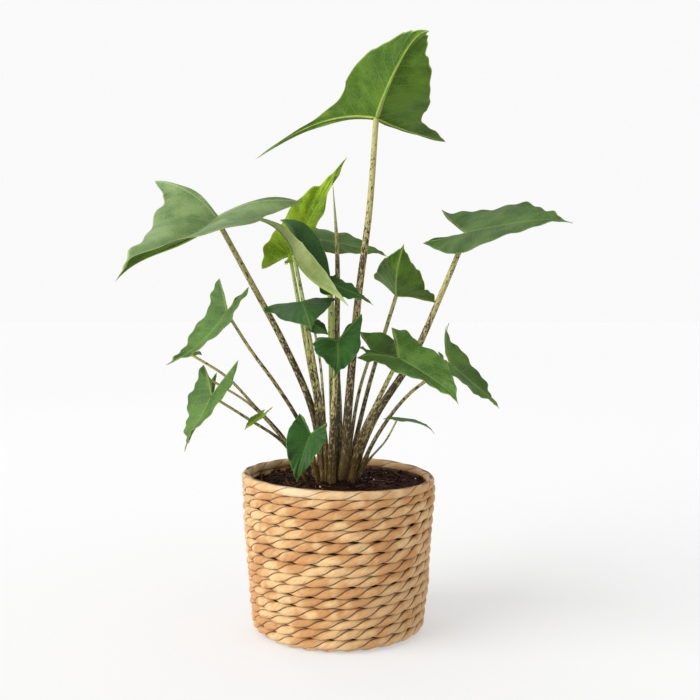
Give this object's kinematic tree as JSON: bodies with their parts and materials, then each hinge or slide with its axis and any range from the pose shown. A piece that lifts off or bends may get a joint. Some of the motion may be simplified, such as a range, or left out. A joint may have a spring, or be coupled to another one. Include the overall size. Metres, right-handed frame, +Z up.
{
  "type": "potted siberian tiger zebra alocasia",
  "caption": "House plant with arrow-shaped green leaves on dark-mottled stalks, growing in soil in a round basket of twisted rope.",
  "frame": {"origin": "middle of the basket's underside, on the floor", "axes": "+Z up, -Y to the front, +X to the right seen from the front"},
  "size_m": [0.4251, 0.2141, 0.5971],
  "materials": {
    "rope": "dry twisted plant fibre, matt with a faint sheen",
    "liner_film": "thin black film",
    "soil": "moist crumbly peat with fibres",
    "crown_skin": "rough stem skin with dry sheaths",
    "stalk_skin": "smooth cream to yellow-green skin with dark brown zebra mottling",
    "blade": "satin green leaf, paler underneath, with a yellow-green midrib",
    "young_blade": "thin bright yellow-green young leaf",
    "pale_blade": "dark green above and pale grey-green underneath"
  },
  "bodies": {
    "root": {"basket_wall": "rope", "basket_rim": "rope", "basket_base": "rope", "plastic_liner": "liner_film", "crown": "crown_skin", "soil": "soil", "leaf_top": "blade", "stalk_top": "stalk_skin", "leaf_left": "blade", "stalk_left": "stalk_skin", "leaf_right": "blade", "stalk_right": "stalk_skin", "leaf_bright": "young_blade", "stalk_bright": "stalk_skin", "leaf_folded": "pale_blade", "stalk_folded": "stalk_skin", "leaf_dark": "blade", "stalk_dark": "stalk_skin", "leaf_back": "blade", "stalk_back": "stalk_skin", "leaf_upper": "blade", "stalk_upper": "stalk_skin", "leaf_left_middle": "blade", "stalk_left_middle": "stalk_skin", "leaf_left_low": "blade", "stalk_left_low": "stalk_skin", "leaf_young_left": "blade", "stalk_young_left": "stalk_skin", "leaf_centre": "blade", "stalk_centre": "stalk_skin", "leaf_small": "blade", "stalk_small": "stalk_skin", "leaf_heart": "blade", "stalk_heart": "stalk_skin", "leaf_right_middle": "blade", "stalk_right_middle": "stalk_skin", "leaf_behind": "blade", "stalk_behind": "stalk_skin", "leaf_right_low": "blade", "stalk_right_low": "stalk_skin", "leaf_front": "blade", "stalk_front": "stalk_skin", "leaf_young_right": "blade", "stalk_young_right": "stalk_skin", "leaf_young_back_high": "blade", "stalk_young_back_high": "stalk_skin", "leaf_young_back_low": "blade", "stalk_young_back_low": "stalk_skin", "new_leaf_spear": "stalk_skin"}
  },
  "joints": []
}
